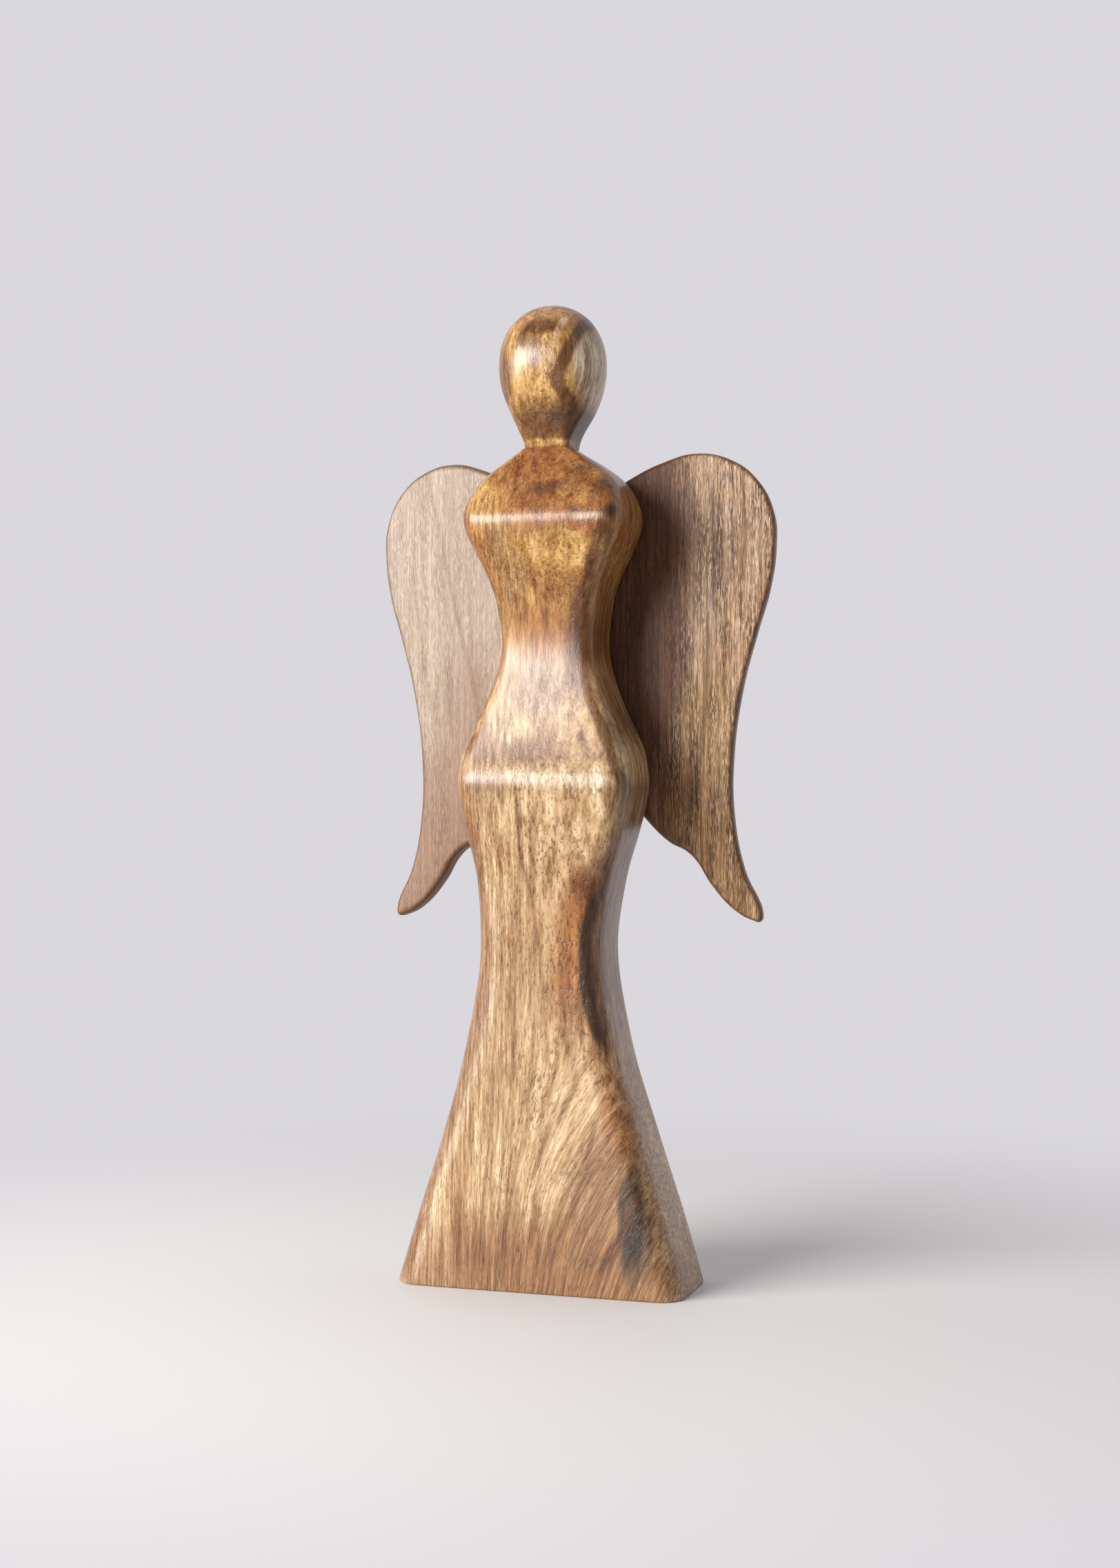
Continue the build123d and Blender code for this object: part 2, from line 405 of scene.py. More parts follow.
def countersink(board, height):
    """A drilled and countersunk hole in the wing's back face."""
    depth = SCREW_HEAD_RADIUS - SHANK_HOLE_RADIUS
    lip = 0.2  # the cutter stands proud of the face by this much
    cutters = [
        (SCREW_HEAD_RADIUS + lip, SHANK_HOLE_RADIUS, depth + lip, WING_THICKNESS - depth / 2 + lip / 2),
        (SHANK_HOLE_RADIUS, SHANK_HOLE_RADIUS, 2 * WING_THICKNESS, WING_THICKNESS / 2),
    ]
    for wide, narrow, length, middle in cutters:
        bpy.ops.object.select_all(action="DESELECT")
        bpy.ops.mesh.primitive_cone_add(
            vertices=48,
            radius1=wide * MM,
            radius2=narrow * MM,
            depth=length * MM,
            location=(SCREW_ALONG * MM, middle * MM, height * MM),
            rotation=(pi / 2, 0, 0),
        )
        drill = bpy.context.object
        apply_modifier(board, "BOOLEAN", operation="DIFFERENCE", object=drill, solver="EXACT")
        bpy.data.objects.remove(drill)


left = wing_board()
for height in SCREW_HEIGHTS:
    countersink(left, height)
left.name = "board_wing_left"
only(left)
bpy.ops.object.duplicate()
right = bpy.context.object
right.name = "board_wing_right"
bpy.ops.transform.resize(value=(-1, 1, 1), center_override=(0, 0, 0))
settle(right)
bpy.ops.object.mode_set(mode="EDIT")
bpy.ops.mesh.select_all(action="SELECT")
bpy.ops.mesh.normals_make_consistent(inside=False)
bpy.ops.object.mode_set(mode="OBJECT")
for wing, side, node in ((left, 1, "wing_left"), (right, -1, "wing_right")):
    lean_back(wing, side)
    bpy.ops.object.shade_smooth_by_angle(angle=radians(35))
    apply_modifier(wing, "WEIGHTED_NORMAL", keep_sharp=True)
    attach(wing, "root")
    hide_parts(node)
    print(wing.name, len(wing.data.polygons), "faces")

# %% [markdown]
# ## Wood
#
# The angel is a brown tropical hardwood. Its colour comes in layers: broad bands of honey and
# brown, fine lines along the grain, open pores that show as short dark flecks, and heart streaks
# that run their own way. Each layer that both woods use is a node group with its own sockets.

# %% Helpers for nodes


def add_node(tree, kind, inputs=(), **settings):
    """Adds a node, gives it its settings, and links or sets its inputs."""
    node = tree.nodes.new(kind)
    for key, value in settings.items():
        setattr(node, key, value)
    for name, value in dict(inputs).items():
        if isinstance(value, bpy.types.NodeSocket):
            tree.links.new(value, node.inputs[name])
        else:
            node.inputs[name].default_value = value
    return node


def math_node(tree, operation, *values):
    """A Math node's result."""
    node = add_node(tree, "ShaderNodeMath", enumerate(values), operation=operation)
    return node.outputs[0]


def soft_step(tree, value, low, high):
    """0 below low, 1 above high, and smooth between them. low may be the higher."""
    inputs = {"Value": value, "From Min": low, "From Max": high}
    node = add_node(tree, "ShaderNodeMapRange", inputs, interpolation_type="SMOOTHSTEP")
    return node.outputs["Result"]


def blend(tree, amount, first, second, how="MIX"):
    """Mixes two colours."""
    node = add_node(tree, "ShaderNodeMix", data_type="RGBA", blend_type=how, clamp_factor=True)
    for socket, value in zip((node.inputs[0], node.inputs[6], node.inputs[7]), (amount, first, second)):
        if isinstance(value, bpy.types.NodeSocket):
            tree.links.new(value, socket)
        else:
            socket.default_value = value
    return node.outputs[2]


def noise(tree, vector, stretch, scale, detail=2.0, roughness=0.5):
    """Noise that is drawn out along the grain. stretch shrinks the pattern on each axis."""
    mapping = add_node(tree, "ShaderNodeMapping", {"Vector": vector, "Scale": stretch})
    inputs = {"Vector": mapping.outputs[0], "Scale": scale, "Detail": detail, "Roughness": roughness}
    return add_node(tree, "ShaderNodeTexNoise", inputs).outputs[0]


def new_group(name, sockets_in, sockets_out):
    """An empty node group with named sockets."""
    group = bpy.data.node_groups.new(name, "ShaderNodeTree")
    for label, kind, value in sockets_in:
        socket = group.interface.new_socket(label, in_out="INPUT", socket_type=kind)
        if value is not None:
            socket.default_value = value
    for label in sockets_out:
        group.interface.new_socket(label, in_out="OUTPUT", socket_type="NodeSocketFloat")
    start = group.nodes.new("NodeGroupInput")
    end = group.nodes.new("NodeGroupOutput")
    return group, start.outputs, end.inputs


def use_group(tree, group, **inputs):
    """Places a group in a material. A socket's spaces are underscores here."""
    node = add_node(tree, "ShaderNodeGroup", node_tree=group)
    for name, value in inputs.items():
        socket = node.inputs[name.replace("_", " ")]
        if isinstance(value, bpy.types.NodeSocket):
            tree.links.new(value, socket)
        else:
            socket.default_value = value
    return node.outputs


VECTOR, NUMBER = "NodeSocketVector", "NodeSocketFloat"

# %% [markdown]
# The grain group gives broad bands and finer stripes, both drawn out along Z. The
# bands wander sideways a little, because no tree grows quite straight.

# %% Grain group
grain, grain_in, grain_out = new_group(
    "wood grain",
    [("Vector", VECTOR, None), ("Wander", NUMBER, 0.004)],
    ["Bands", "Stripes"],
)
sway = noise(grain, grain_in["Vector"], (1, 1, 0.35), 28, detail=2)
sway = math_node(grain, "MULTIPLY", math_node(grain, "SUBTRACT", sway, 0.5), grain_in["Wander"])
shift = add_node(grain, "ShaderNodeCombineXYZ", {"X": sway, "Y": sway})
moved = add_node(grain, "ShaderNodeVectorMath", {0: grain_in["Vector"], 1: shift.outputs[0]})
place = moved.outputs[0]
grain.links.new(noise(grain, place, (1, 0.8, 0.10), 60, detail=3), grain_out["Bands"])
grain.links.new(noise(grain, place, (1, 0.5, 0.020), 640, detail=3), grain_out["Stripes"])

# %% [markdown]
# Pores are cut lengthwise by the saw, so they are slots about half a millimetre wide and a few
# millimetres long. They crowd together in some bands and are few in others.

# %% Pore group
pores, pores_in, pores_out = new_group(
    "open pores",
    [("Vector", VECTOR, None), ("Fineness", NUMBER, 1100), ("Amount", NUMBER, 0.5)],
    ["Pores"],
)
slots = noise(pores, pores_in["Vector"], (1, 0.6, 0.09), pores_in["Fineness"], detail=1)
crowd = soft_step(pores, noise(pores, pores_in["Vector"], (1, 1, 0.12), 260, detail=3), 0.30, 0.70)
edge = math_node(pores, "SUBTRACT", 0.72, math_node(pores, "MULTIPLY", pores_in["Amount"], 0.2))
cut = soft_step(pores, math_node(pores, "SUBTRACT", slots, edge), 0.0, 0.06)
thick = math_node(pores, "MULTIPLY_ADD", crowd, 0.6, 0.4)
pores.links.new(math_node(pores, "MULTIPLY", cut, thick), pores_out["Pores"])

# %% [markdown]
# Between the pores the wood itself is finely lined, paler and darker. The dark lines are redder,
# so the blue and green are held back more than the red where the grain is dark.

# %% Fine line group
fine_lines, fine_in, fine_out = new_group(
    "fine lines", [("Vector", VECTOR, None), ("Contrast", NUMBER, 0.4)], ["Red", "Green", "Blue"]
)
thread = noise(fine_lines, fine_in["Vector"], (1, 0.5, 0.05), 2200, detail=3, roughness=0.7)
cord = noise(fine_lines, fine_in["Vector"], (1, 0.4, 0.025), 900, detail=2)
both = math_node(fine_lines, "SUBTRACT", math_node(fine_lines, "ADD", thread, cord), 1.0)
swing = math_node(fine_lines, "MULTIPLY", fine_in["Contrast"], 5.0)
tone = math_node(fine_lines, "MULTIPLY_ADD", both, swing, 1.0)
tone = math_node(fine_lines, "MAXIMUM", tone, 0.15)
for name, power in (("Red", 1.0), ("Green", 1.35), ("Blue", 1.9)):
    fine_lines.links.new(math_node(fine_lines, "POWER", tone, power), fine_out[name])

# %% [markdown]
# A heart streak is a dark band that follows its own line through the plank, and the same group also
# lays a pale painted highlight along the skirt's rounded corner. The line is a curve that gives X
# for each height, and the group picks out what lies near it, with a ragged edge.

# %% Streak group
streak, streak_in, streak_out = new_group(
    "heart streak and painted highlight line",
    [
        ("Vector", VECTOR, None),
        ("Line", NUMBER, 0.0),
        ("Half Width", NUMBER, 0.004),
        ("Ragged", NUMBER, 0.006),
    ],
    ["Streak"],
)
across = add_node(streak, "ShaderNodeSeparateXYZ", {0: streak_in["Vector"]}).outputs["X"]
ragged = noise(streak, streak_in["Vector"], (1, 1, 0.3), 120, detail=3)
ragged = math_node(streak, "MULTIPLY", math_node(streak, "SUBTRACT", ragged, 0.5), streak_in["Ragged"])
off = math_node(streak, "SUBTRACT", math_node(streak, "ADD", across, ragged), streak_in["Line"])
off = math_node(streak, "DIVIDE", math_node(streak, "ABSOLUTE", off), streak_in["Half Width"])
streak.links.new(soft_step(streak, off, 1.3, 0.5), streak_out["Streak"])

# %% [markdown]
# A maker who scorches and waxes a piece leaves darker patches; other patches are painted light:
# pale painted highlights on the ridges, the head and the crease under the chin, and painted
# shade above the hip ridge. A patch is an oval cloud with a ragged edge: the group gives 1 in
# its middle and fades out past its reach.

# %% Patch group
patch, patch_in, patch_out = new_group(
    "scorch and painted light patch",
    [
        ("Vector", VECTOR, None),
        ("Middle", VECTOR, None),
        ("Reach", VECTOR, None),
        ("Ragged", NUMBER, 1.2),
    ],
    ["Patch"],
)
from_middle = add_node(
    patch, "ShaderNodeVectorMath", {0: patch_in["Vector"], 1: patch_in["Middle"]}, operation="SUBTRACT"
)
from_middle = add_node(
    patch, "ShaderNodeVectorMath", {0: from_middle.outputs[0], 1: patch_in["Reach"]}, operation="DIVIDE"
)
reached = add_node(patch, "ShaderNodeVectorMath", {0: from_middle.outputs[0]}, operation="LENGTH")
cloud = noise(patch, patch_in["Vector"], (1, 1, 0.18), 230, detail=4, roughness=0.6)
cloud = math_node(patch, "MULTIPLY", math_node(patch, "SUBTRACT", cloud, 0.5), patch_in["Ragged"])
reached = math_node(patch, "ADD", reached.outputs["Value"], cloud)
patch.links.new(soft_step(patch, reached, 1.40, 0.35), patch_out["Patch"])
print("node groups:", [g.name for g in bpy.data.node_groups])

# %% [markdown]
# Every wood here is one material with one shader, and its colour is laid on in steps: the ground
# first, then patches and streaks, then pores and fine lines. These helpers start a material and
# turn a few points into a smooth line, as a maker would draw a grain line with a spline.

# %% Waxed wood
FARTHEST_X = 90  # every line stays within this distance of the middle, in millimetres


def new_material(name, roughness=0.4):
    """A material with its tree, its shader and the Object coordinates."""
    material = bpy.data.materials.new(name)
    material.use_nodes = True
    tree = material.node_tree
    shader = tree.nodes["Principled BSDF"]
    shader.inputs["Roughness"].default_value = roughness
    place = add_node(tree, "ShaderNodeTexCoord").outputs["Object"]
    return material, tree, shader, place


def line_of(tree, height, points):
    """X as a curve over the height. Points are millimetres: (height, x)."""
    curve = add_node(tree, "ShaderNodeFloatCurve")
    position = add_node(
        tree,
        "ShaderNodeMapRange",
        {"Value": height, "From Min": points[0][0] * MM, "From Max": points[-1][0] * MM},
    )
    tree.links.new(position.outputs[0], curve.inputs["Value"])
    knots = curve.mapping.curves[0].points
    span = points[-1][0] - points[0][0]
    while len(knots) < len(points):
        knots.new(0.5, 0.5)
    for knot, (z, x) in zip(knots, points):
        knot.location = ((z - points[0][0]) / span, (x + FARTHEST_X) / (2 * FARTHEST_X))
    curve.mapping.update()
    return math_node(tree, "MULTIPLY_ADD", curve.outputs[0], 2 * FARTHEST_X * MM, -FARTHEST_X * MM)


def add_fine_lines(tree, colour, vector, contrast):
    """Multiplies the colour by the fine lines, and also gives the lines as a height."""
    threads = use_group(tree, fine_lines, Vector=vector, Contrast=contrast)
    shade = {"X": threads["Red"], "Y": threads["Green"], "Z": threads["Blue"]}
    shade = add_node(tree, "ShaderNodeCombineXYZ", shade)
    return blend(tree, 1.0, colour, shade.outputs[0], how="MULTIPLY"), threads["Red"]


# %% [markdown]
# The figure's wood is straw brown in the skirt and more golden above the hips. The maker left
# the heart of the tree along its left edge, where a black line runs from the hip to the hem.
# Near the hem the growth rings run out of the plank, so the grain leans over there.

# %% The figure's colours
STRAW = (0.56, 0.365, 0.185, 1)
TAN = (0.40, 0.225, 0.095, 1)
GOLD = (0.58, 0.33, 0.105, 1)
HONEY = (0.44, 0.215, 0.055, 1)
AMBER = (0.28, 0.098, 0.021, 1)
NUT = (0.235, 0.105, 0.042, 1)
CHESTNUT = (0.120, 0.046, 0.015, 1)
ASH_BROWN = (0.20, 0.122, 0.080, 1)
UMBER = (0.060, 0.027, 0.012, 1)
BLACK_HEART = (0.022, 0.012, 0.008, 1)
# The next colour is the pale of the painted highlights.
PAINTED_HIGHLIGHT_PALE = (0.66, 0.50, 0.33, 1)
ROSE = (0.36, 0.215, 0.13, 1)
HEM_BROWN = (0.26, 0.118, 0.042, 1)

figure_wood, tree, wax, place = new_material("waxed_figure_wood", roughness=0.33)
place_parts = add_node(tree, "ShaderNodeSeparateXYZ", {0: place}).outputs
across, height = place_parts["X"], place_parts["Z"]

# %% Leaning grain near the hem
toward_left = soft_step(tree, across, -0.030, 0.060)
above_hem = soft_step(tree, height, -0.030, 0.100)
slide = math_node(tree, "MULTIPLY", math_node(tree, "MULTIPLY", toward_left, above_hem), -0.046)
slide = add_node(tree, "ShaderNodeCombineXYZ", {"X": slide})
along_grain = add_node(tree, "ShaderNodeVectorMath", {0: place, 1: slide.outputs[0]}).outputs[0]

# %% Ground colour
lines = use_group(tree, grain, Vector=along_grain, Wander=0.012)
specks = use_group(tree, pores, Vector=along_grain, Fineness=3600, Amount=0.8)["Pores"]
bands = soft_step(tree, lines["Bands"], 0.36, 0.64)
skirt = blend(tree, bands, STRAW, TAN)
bust = blend(tree, bands, HONEY, AMBER)
colour = blend(tree, soft_step(tree, height, 0.205, 0.265), skirt, bust)
stripes = math_node(tree, "MULTIPLY", soft_step(tree, lines["Stripes"], 0.50, 0.66), 0.55)
colour = blend(tree, stripes, colour, NUT)

# %% The figure's patches
# Each one: X, Z, reach along X, reach along Z, colour, strength, and for a shallow patch its
# depth. Lengths are millimetres.
FRONT_FACE = -24
THROUGH = 1000  # deep enough to run through the whole plank
PATCHES = [
    (2, 243, 18, 13, ROSE, 0.9),
    (0, 188, 16, 13, STRAW, 0.75),
    (22, 189, 9, 13, STRAW, 0.95),
    (0, 95, 12, 22, STRAW, 0.5),
    (6, 298, 22, 9, GOLD, 0.75),
    (-17, 301, 7, 9, TAN, 0.7),
    (-12, 286, 7, 12, TAN, 0.6),
    (0, 264, 16, 11, AMBER, 0.4),
    (13.5, 260, 5.5, 15, AMBER, 1.0),
    (30, 198, 3, 8, NUT, 0.6),
    (5, 281, 14, 10, GOLD, 0.35),
    (15, 266, 5, 20, CHESTNUT, 0.85),
    (13, 247, 6, 7, ASH_BROWN, 0.5),
    (12, 259, 5, 10, CHESTNUT, 0.55),
    # Painted shade: the next three patches darken the band just above the hip ridge, where the surface
    # turns up too steeply to show the light's sheen.
    (-4, 217, 24, 6.5, NUT, 0.9),
    (-25, 221, 7, 8, NUT, 0.8),
    (16, 218, 8, 5, TAN, 0.8),
    # Painted highlights: the next three pale patches lie along the hip ridge and the chest ridge, where
    # the wax catches the light.
    (6, 204.5, 24, 2.6, PAINTED_HIGHLIGHT_PALE, 0.35),
    (24, 205, 8, 3, PAINTED_HIGHLIGHT_PALE, 0.8),
    (22, 310.5, 6, 1.8, PAINTED_HIGHLIGHT_PALE, 0.7),
    (29, 226, 5, 14, CHESTNUT, 0.6),
    (3, 323, 11, 3.5, CHESTNUT, 0.75),
    (16, 330, 6, 3, CHESTNUT, 0.6),
    (-6, 332, 12, 4, AMBER, 0.8),
    (-24, 320, 8, 7, GOLD, 0.7),
    (24, 322, 8, 5, CHESTNUT, 0.5),
    (14, 319, 8, 4, HONEY, 0.7),
    (30, 313, 2.4, 3.0, UMBER, 0.95),
    (28, 304, 2.0, 6, CHESTNUT, 0.6),
    (-27, 176, 5, 22, NUT, 0.7),
    (-7.5, 182, 1.4, 24, NUT, 0.7),
    (-2.5, 176, 1.5, 28, NUT, 0.6),
    (-3, 126, 1.4, 34, NUT, 0.45),
    (11, 134, 7, 25, AMBER, 0.95),
    (17, 155, 6.0, 18, AMBER, 1.0),
    (20, 160, 5.0, 12, CHESTNUT, 0.7),
    (27, 168, 5, 11, ASH_BROWN, 0.85),
    (8, 10, 56, 26, HEM_BROWN, 0.95),
    (26, 45, 12, 22, NUT, 0.6),
    (-36, 8, 20, 22, HEM_BROWN, 0.6),
    (-23, 204, 7, 4, NUT, 0.8),
    (41, 24, 7.5, 15, BLACK_HEART, 0.95, 12),
    (39, 41, 5.5, 13, UMBER, 0.95, 12),
    (0, 372, 20, 22, GOLD, 0.8),
    (-17, 369, 5, 15, CHESTNUT, 0.8),
    (1, 389, 10, 3.5, CHESTNUT, 0.9),
    (-7, 384, 3.5, 5, CHESTNUT, 0.85),
    (-2, 378, 4, 7, NUT, 0.7),
    # Partly the wood's pale stripe, partly a painted highlight on the head's right side.
    (18.5, 373, 5, 17, PAINTED_HIGHLIGHT_PALE, 1.0),
    (-2, 351, 14, 8, CHESTNUT, 0.8),
    (10, 352, 7, 7, UMBER, 0.85),
    # A thin pale ring just above the crease under the chin: partly a worn edge, partly a painted
    # highlight.
    (-2, 343, 12, 1.6, GOLD, 0.9),
    (-20, 385, 5, 12, NUT, 0.5),
]


def add_patch(wood, colour, x, z, reach_x, reach_z, shade, strength, depth=THROUGH):
    """Lays a cloudy patch over the colour, from the front in. wood is (tree, place, height)."""
    tree, place, _ = wood
    node = add_node(tree, "ShaderNodeGroup", {"Vector": place}, node_tree=patch)
    node.inputs["Middle"].default_value = (x * MM, FRONT_FACE * MM, z * MM)
    node.inputs["Reach"].default_value = (reach_x * MM, depth * MM, reach_z * MM)
    return blend(tree, math_node(tree, "MULTIPLY", node.outputs["Patch"], strength), colour, shade)


def add_streak(wood, colour, points, shade, half_width, ragged, strength):
    """Lays a streak over the colour along a line through the plank. points are (height, X)."""
    tree, place, height = wood
    line = line_of(tree, height, points)
    sizes = {"Half_Width": half_width * MM, "Ragged": ragged * MM}
    wide = use_group(tree, streak, Vector=place, Line=line, **sizes)
    ends = math_node(
        tree,
        "MULTIPLY",
        soft_step(tree, height, (points[0][0] - 4) * MM, (points[0][0] + 8) * MM),
        soft_step(tree, height, (points[-1][0] + 4) * MM, (points[-1][0] - 8) * MM),
    )
    amount = math_node(tree, "MULTIPLY", math_node(tree, "MULTIPLY", wide["Streak"], ends), strength)
    return blend(tree, amount, colour, shade)


figure_plank = (tree, place, height)
for spot in PATCHES:
    colour = add_patch(figure_plank, colour, *spot)

# %% The figure's streaks
# Each line: points of (height, X), colour, half width, raggedness, strength. Millimetres.
HIP_TO_HEM = [
    (53, 37.5), (86, 28.5), (100, 25), (115, 21), (130, 18.7), (146, 19.5), (160, 24),
    (175, 31), (190, 38),
]
SIDE_OF_SKIRT = [
    (0, 59.5), (30, 51), (60, 41.5), (100, 30), (138, 24.5), (166, 28.5), (190, 35), (206, 37.5),
]
RIGHT_SIDE_OF_SKIRT = [(z, -x) for z, x in SIDE_OF_SKIRT]
# A painted highlight: a thin pale line just inside the skirt's rounded right corner.
PAINTED_HIGHLIGHT_INSIDE_RIGHT_SIDE = [(z, x + 6.3) for z, x in RIGHT_SIDE_OF_SKIRT[:6]]
BLACK_LINE = [(96, 26), (100, 25), (115, 21), (130, 19), (146, 19.5), (163, 24)]
LEFT_OF_TORSO = [
    (200, 36), (215, 30), (230, 24), (245, 18.5), (262, 15.5), (280, 17.5), (295, 22), (312, 28),
]
RIGHT_OF_TORSO = [
    (206, -37.5), (220, -34.5), (236, -26.5), (260, -19.8), (284, -23), (299, -30), (318, -33),
]
ACROSS_HEAD = [
    (344, 10), (352, 10), (360, 9.5), (366, 7.6), (375, 10), (383, 13), (391, 16.5), (399, 19),
]
STREAKS = [
    (HIP_TO_HEM, AMBER, 6.0, 8, 0.65),
    (BLACK_LINE, BLACK_HEART, 2.8, 4, 0.88),
    ([(10, 28), (26, 36), (40, 41)], CHESTNUT, 1.6, 3, 0.7),
    ([(2, 14), (22, 24), (45, 33), (60, 36)], NUT, 1.4, 3, 0.7),
    ([(2, 3), (22, 10), (45, 18), (72, 25)], NUT, 1.4, 4, 0.8),
    (RIGHT_SIDE_OF_SKIRT, NUT, 5.0, 3, 0.7),
    (SIDE_OF_SKIRT[3:], ASH_BROWN, 4.0, 4, 0.6),
    # The painted highlight along the skirt's rounded right corner.
    (PAINTED_HIGHLIGHT_INSIDE_RIGHT_SIDE, PAINTED_HIGHLIGHT_PALE, 2.0, 3, 0.3),
    (LEFT_OF_TORSO, CHESTNUT, 2.4, 5, 0.75),
    (RIGHT_OF_TORSO, CHESTNUT, 2.2, 3, 0.65),
    (ACROSS_HEAD, CHESTNUT, 3.0, 5, 0.9),
    ([(366, 1), (372, 3.5), (380, 6), (388, 8), (396, 10)], STRAW, 1.6, 2, 0.8),
]
for line in STREAKS:
    colour = add_streak(figure_plank, colour, *line)

# %% Pores and wax
above_hips = soft_step(tree, height, 0.205, 0.225)
below_ribs = soft_step(tree, height, 0.285, 0.262)
on_belly = math_node(tree, "MULTIPLY", above_hips, below_ribs)
specks = math_node(tree, "MULTIPLY", specks, math_node(tree, "MULTIPLY_ADD", on_belly, -0.7, 1.0))
colour = blend(tree, math_node(tree, "MULTIPLY", specks, 0.6), colour, UMBER)
colour, line_height = add_fine_lines(tree, colour, along_grain, 0.38)
tree.links.new(colour, wax.inputs["Base Color"])
wax.inputs["Coat Weight"].default_value = 0.25
wax.inputs["Coat Roughness"].default_value = 0.2
line_height = math_node(tree, "MULTIPLY", line_height, 0.5)
relief = math_node(tree, "MULTIPLY_ADD", specks, -1.0, line_height)
bump = add_node(tree, "ShaderNodeBump", {"Height": relief, "Strength": 0.35, "Distance": 0.0003})
tree.links.new(bump.outputs[0], wax.inputs["Normal"])

# %% [markdown]
# The wing boards come from another part of the tree. They are greyer and less waxed, and their
# pores show as close dark dashes. The tails turn amber, and the board at the figure's left is
# almost black where it meets the body: partly dark heart wood, partly painted shade in the
# narrow gap between the board and the body.

# %% The wings' wood
BOARD_PALE = (0.41, 0.290, 0.195, 1)
BOARD_GREY = (0.34, 0.225, 0.145, 1)
# The brown board's tan and brown are lighter than the pale board's colours: partly painted light that
# lifts the wing standing in the figure's shadow.
BOARD_TAN = (0.72, 0.48, 0.30, 1)
BOARD_BROWN = (0.62, 0.35, 0.18, 1)
DARK_HEART_AND_SHADE = (0.160, 0.046, 0.010, 1)


def wing_finish(name, side, light, dark, dashes_show, heart_and_shade_show, spots, streaks):
    """Board wood in two tones with dashes for pores, and dark heart wood and painted shade near the
    body.
    """
    material, tree, wax, place = new_material(name, roughness=0.45)
    parts = add_node(tree, "ShaderNodeSeparateXYZ", {0: place}).outputs
    lines = use_group(tree, grain, Vector=place, Wander=0.014)
    crowding = 1.1 + 0.35 * dashes_show
    dashes = use_group(tree, pores, Vector=place, Fineness=3100, Amount=crowding)["Pores"]
    colour = blend(tree, soft_step(tree, lines["Bands"], 0.38, 0.62), light, dark)
    thin = math_node(tree, "MULTIPLY", soft_step(tree, lines["Stripes"], 0.52, 0.66), dashes_show)
    colour = blend(tree, math_node(tree, "MULTIPLY", thin, 0.5), colour, CHESTNUT)
    tail = soft_step(tree, parts["Z"], 0.235, 0.175)
    colour = blend(tree, math_node(tree, "MULTIPLY", tail, 0.7), colour, HONEY if side > 0 else NUT)
    outward = math_node(tree, "ABSOLUTE", parts["X"])
    low_down = soft_step(tree, parts["Z"], 0.250, 0.200)
    outward = math_node(tree, "MULTIPLY_ADD", low_down, 0.010, outward)
    ragged = math_node(tree, "MULTIPLY_ADD", lines["Bands"], 0.020, -0.010)
    # Near the body the board goes almost black: partly heart wood, partly painted shade in the gap
    # where the figure hides the light.
    inner_heart_and_shade = soft_step(tree, math_node(tree, "ADD", outward, ragged), 0.058, 0.040)
    colour = blend(tree, math_node(tree, "MULTIPLY", inner_heart_and_shade, heart_and_shade_show), colour, DARK_HEART_AND_SHADE)
    for spot in spots:
        colour = add_patch((tree, place, parts["Z"]), colour, *spot)
    for line in streaks:
        colour = add_streak((tree, place, parts["Z"]), colour, *line)
    colour = blend(tree, math_node(tree, "MULTIPLY", dashes, 0.25 + 0.75 * dashes_show), colour, UMBER)
    colour, _ = add_fine_lines(tree, colour, place, 0.45 * dashes_show)
    # The sanded edge is nearly end grain, which takes up more wax and goes darker.
    outward_normal = add_node(tree, "ShaderNodeTexCoord").outputs["Normal"]
    board_normal = (side * sin(WING_SWEEP), -cos(WING_SWEEP), 0)
    facing = add_node(
        tree, "ShaderNodeVectorMath", {0: outward_normal, 1: board_normal}, operation="DOT_PRODUCT"
    )
    on_edge = soft_step(tree, math_node(tree, "ABSOLUTE", facing.outputs["Value"]), 0.97, 0.75)
    colour = blend(tree, math_node(tree, "MULTIPLY", on_edge, 0.7), colour, CHESTNUT)
    tree.links.new(colour, wax.inputs["Base Color"])
    bump = add_node(tree, "ShaderNodeBump", {"Height": dashes, "Strength": 0.3, "Distance": 0.0003})
    bump.invert = True
    tree.links.new(bump.outputs[0], wax.inputs["Normal"])
    return material


pale_board = wing_finish(
    "pale_wing_wood",
    -1,
    BOARD_PALE,
    BOARD_GREY,
    dashes_show=0.35,
    heart_and_shade_show=0.0,
    spots=[(-45, 232, 16, 30, NUT, 0.5), (-62, 200, 16, 22, NUT, 0.45), (-40, 200, 12, 20, AMBER, 0.3)],
    streaks=[
        ([(228, -41), (235, -42), (283, -53), (334, -65)], NUT, 1.3, 3, 0.5),
        ([(215, -60), (262, -68), (300, -73)], NUT, 1.0, 4, 0.3),
    ],
)
brown_board = wing_finish(
    "brown_wing_wood",
    1,
    BOARD_TAN,
    BOARD_BROWN,
    dashes_show=0.8,
    heart_and_shade_show=0.95,
    spots=[
        (58, 228, 13, 26, GOLD, 0.6),
        (48, 290, 5, 22, AMBER, 0.4),
        (46, 205, 9, 16, AMBER, 0.6),
        (50, 318, 9, 16, CHESTNUT, 0.4),
    ],
    streaks=[([(190, 52), (240, 58), (300, 62), (332, 60)], CHESTNUT, 1.6, 5, 0.45)],
)

# %% [markdown]
# The wing screws are plain countersunk wood screws of zinc plated steel. Turning them leaves fine rings
# that scatter the light, so their gloss is a little uneven.

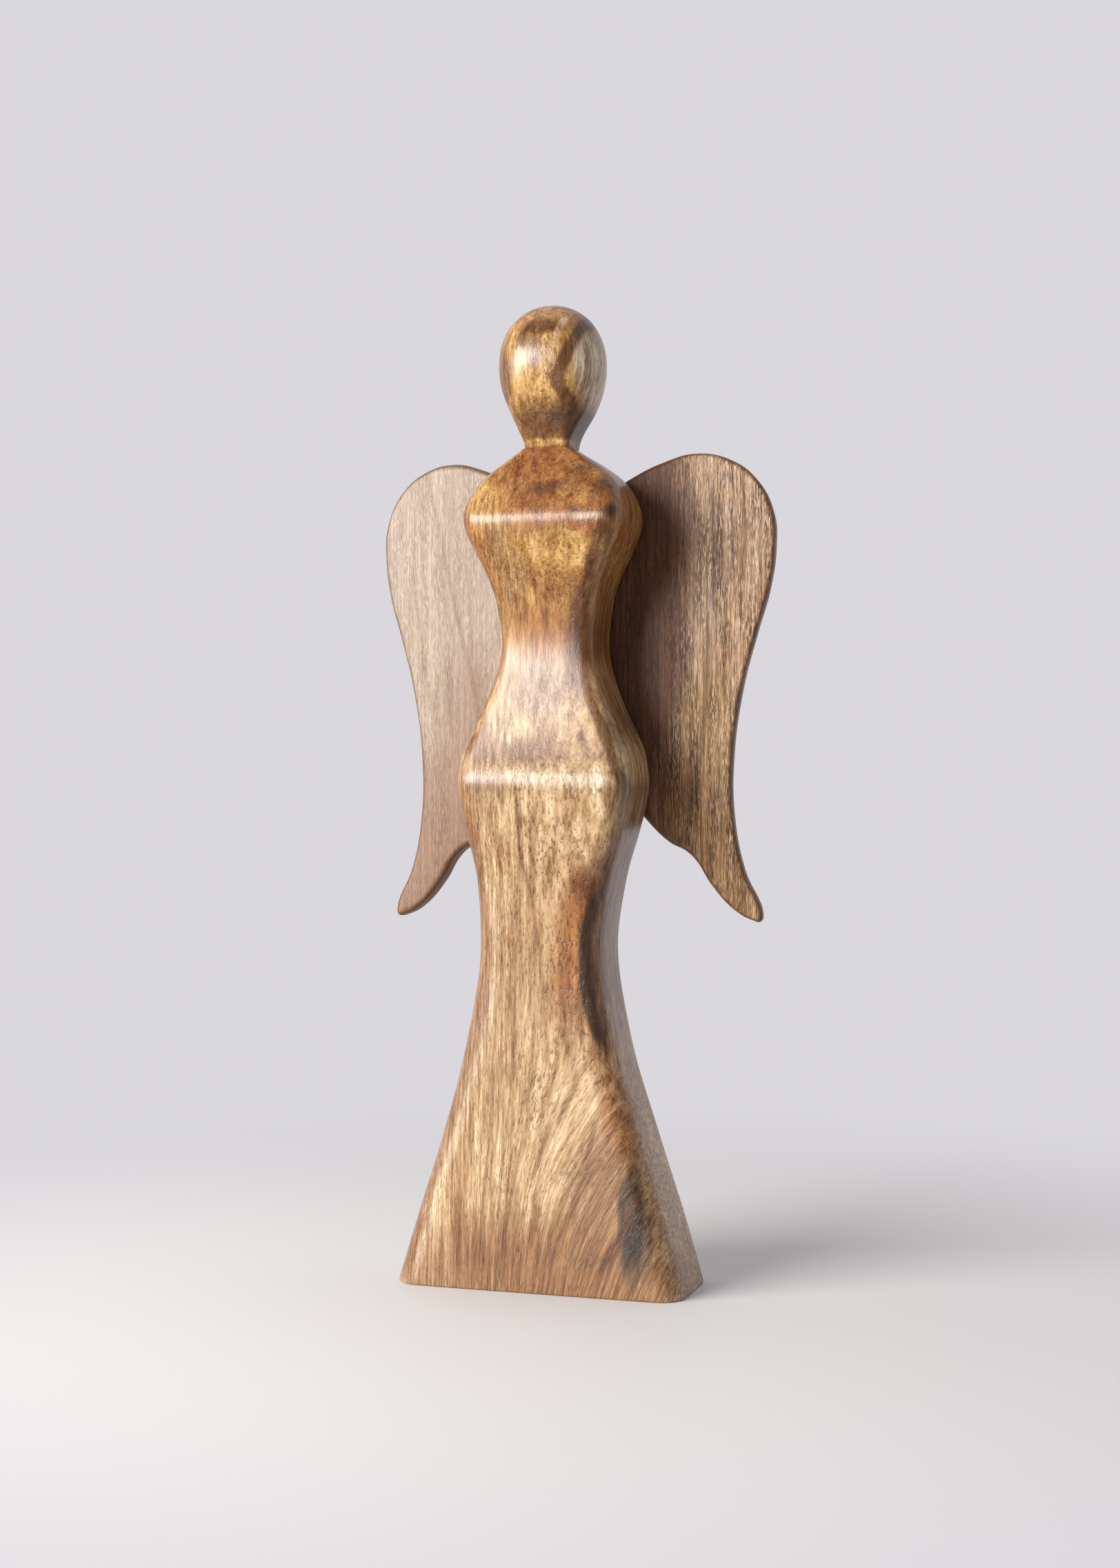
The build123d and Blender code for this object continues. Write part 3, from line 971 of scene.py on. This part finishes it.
# %% Screw steel
steel, tree, metal, place = new_material("screw_steel", roughness=0.3)
metal.inputs["Base Color"].default_value = (0.55, 0.54, 0.52, 1)
metal.inputs["Metallic"].default_value = 1.0
turned = noise(tree, place, (1, 1, 1), 1500, detail=3)
uneven = {"Value": turned, "From Min": 0.3, "From Max": 0.7, "To Min": 0.22, "To Max": 0.42}
tree.links.new(add_node(tree, "ShaderNodeMapRange", uneven).outputs[0], metal.inputs["Roughness"])
for material_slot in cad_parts["wing_screws"].material_slots:
    material_slot.material = steel

# %% The woods on their pieces
for piece, material in ((figure, figure_wood), (left, brown_board), (right, pale_board)):
    piece.data.materials.clear()
    piece.data.materials.append(material)

# %% [markdown]
# ## Floor, light and camera
#
# The angel stands on a plain pale floor. One large soft light stands in front of it, to its
# right, as a window would, and the pale room fills the shadows.

# %% Stage
bpy.ops.object.select_all(action="DESELECT")
bpy.ops.mesh.primitive_circle_add(vertices=96, radius=6, fill_type="NGON")
floor = bpy.context.object
floor.name = "floor"
pale, tree, shader, place = new_material("pale_floor", roughness=0.6)
shader.inputs["Base Color"].default_value = (0.78, 0.765, 0.745, 1)
far_out = add_node(tree, "ShaderNodeVectorMath", {0: place}, operation="LENGTH").outputs["Value"]
room_colour = (0.70, 0.685, 0.72, 1)


def room_strength(tree, coordinates):
    """Bright behind the angel and dim in front of it. coordinates names what gives the side."""
    rays = add_node(tree, "ShaderNodeLightPath").outputs
    way = add_node(tree, "ShaderNodeTexCoord").outputs[coordinates]
    behind = add_node(tree, "ShaderNodeSeparateXYZ", {0: way}).outputs["Y"]
    lit = math_node(tree, "MULTIPLY_ADD", soft_step(tree, behind, -0.3, 0.4), 0.63, 0.32)
    return math_node(tree, "MAXIMUM", lit, rays["Is Camera Ray"])


glow_strength = room_strength(tree, "Object")
glow = add_node(tree, "ShaderNodeEmission", {"Color": room_colour, "Strength": glow_strength})
fade = add_node(tree, "ShaderNodeMixShader", {0: soft_step(tree, far_out, 0.12, 0.50)})
tree.links.new(shader.outputs[0], fade.inputs[1])
tree.links.new(glow.outputs[0], fade.inputs[2])
tree.links.new(fade.outputs[0], tree.nodes["Material Output"].inputs["Surface"])
floor.data.materials.append(pale)

room = bpy.data.worlds.new("room")
bpy.context.scene.world = room
room.use_nodes = True
tree = room.node_tree
background = tree.nodes["Background"]
background.inputs["Color"].default_value = room_colour
tree.links.new(room_strength(tree, "Generated"), background.inputs["Strength"])


def soft_light(name, azimuth, elevation, distance, width, height, power):
    """A rectangular light that faces the figure. Azimuth 0 is straight ahead of it."""
    turn, rise = radians(azimuth), radians(elevation)
    aim = Vector((0, 0, 0.2))
    away = Vector((sin(turn) * cos(rise), -cos(turn) * cos(rise), sin(rise)))
    bpy.ops.object.light_add(type="AREA", location=aim + away * distance)
    light = bpy.context.object
    light.name = name
    light.data.shape = "RECTANGLE"
    light.data.size = width
    light.data.size_y = height
    light.data.energy = power
    light.rotation_euler = (-away).to_track_quat("-Z", "Y").to_euler()


soft_light("window", -39, 16, 1.5, 1.2, 0.55, 39)

# %% [markdown]
# The camera stands level with the angel's middle, a little to its left, and looks straight ahead.
# Its lens is long enough to keep the carved outline nearly free of distortion.

# %% Camera
SENSOR_SIZE = 36
LENS_LENGTH = 49.868
CAMERA_AZIMUTH = radians(17.5)
CAMERA_DISTANCE = 0.8916
CAMERA_HEIGHT = 0.204
SIDE_STEP = 0.0025
bpy.ops.object.camera_add()
camera = bpy.context.object
camera.location = (
    CAMERA_DISTANCE * sin(CAMERA_AZIMUTH) + SIDE_STEP * cos(CAMERA_AZIMUTH),
    -CAMERA_DISTANCE * cos(CAMERA_AZIMUTH) + SIDE_STEP * sin(CAMERA_AZIMUTH),
    CAMERA_HEIGHT,
)
camera.rotation_euler = (pi / 2, 0, CAMERA_AZIMUTH)
camera.data.sensor_width = SENSOR_SIZE
camera.data.lens = LENS_LENGTH
bpy.context.scene.camera = camera
bpy.context.scene.view_settings.view_transform = "Standard"
print("camera at", [round(v, 3) for v in camera.location])
